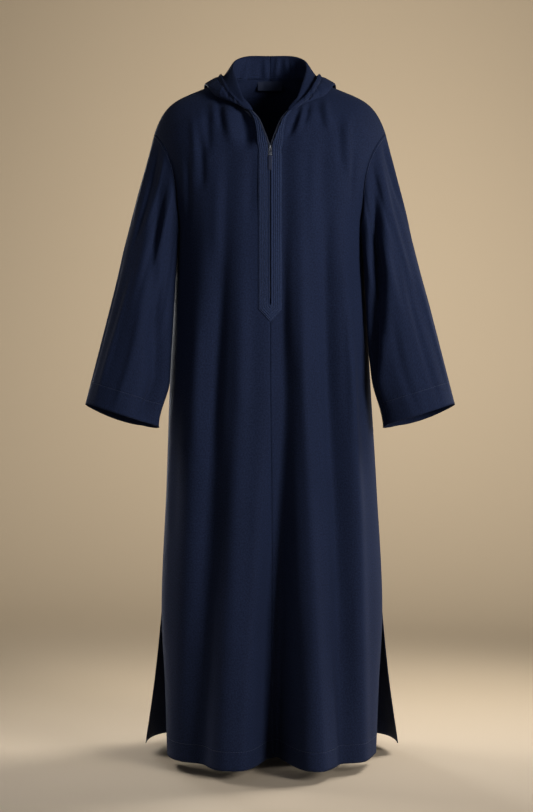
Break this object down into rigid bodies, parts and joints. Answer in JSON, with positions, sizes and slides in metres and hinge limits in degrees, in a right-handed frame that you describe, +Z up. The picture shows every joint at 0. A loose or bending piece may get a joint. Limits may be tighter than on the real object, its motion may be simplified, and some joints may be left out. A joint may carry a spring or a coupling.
{
  "type": "djellaba robe",
  "caption": "Long loose hooded robe in plain navy wool, zipped placket at the chest, wide sleeves and side slits, hood folded back.",
  "frame": {"origin": "middle of the neck, level with the neck ends of the shoulder seams, where the wearer's shoulders hold the robe", "axes": "+Z up, +X towards the wearer's left, +Y towards the wearer's back"},
  "size_m": [0.753, 0.4478, 1.4634],
  "materials": {
    "wool": "brushed woven wool",
    "trim": "ribbed and topstitched",
    "zip_tape": "twill tape",
    "label": "plain satin",
    "zip_metal": "gunmetal plated",
    "pull_enamel": "satin enamel"
  },
  "bodies": {
    "garment": {"front_left": "wool", "front_right": "wool", "back": "wool", "sleeve_left": "wool", "sleeve_right": "wool", "hood_left": "wool", "hood_right": "wool", "placket": "trim", "zip_tape_left": "zip_tape", "zip_tape_right": "zip_tape", "zip_slider": "zip_metal", "neck_label": "label"},
    "pull": {"pull_link": "zip_metal", "pull_tab": "pull_enamel"}
  },
  "joints": [
    {"name": "pull_swing", "type": "hinge", "parent": "garment", "child": "pull", "pos_m": [0, -0.12767, -0.16396], "axis": [-1, 0, 0], "range_deg": [0, 150]}
  ]
}
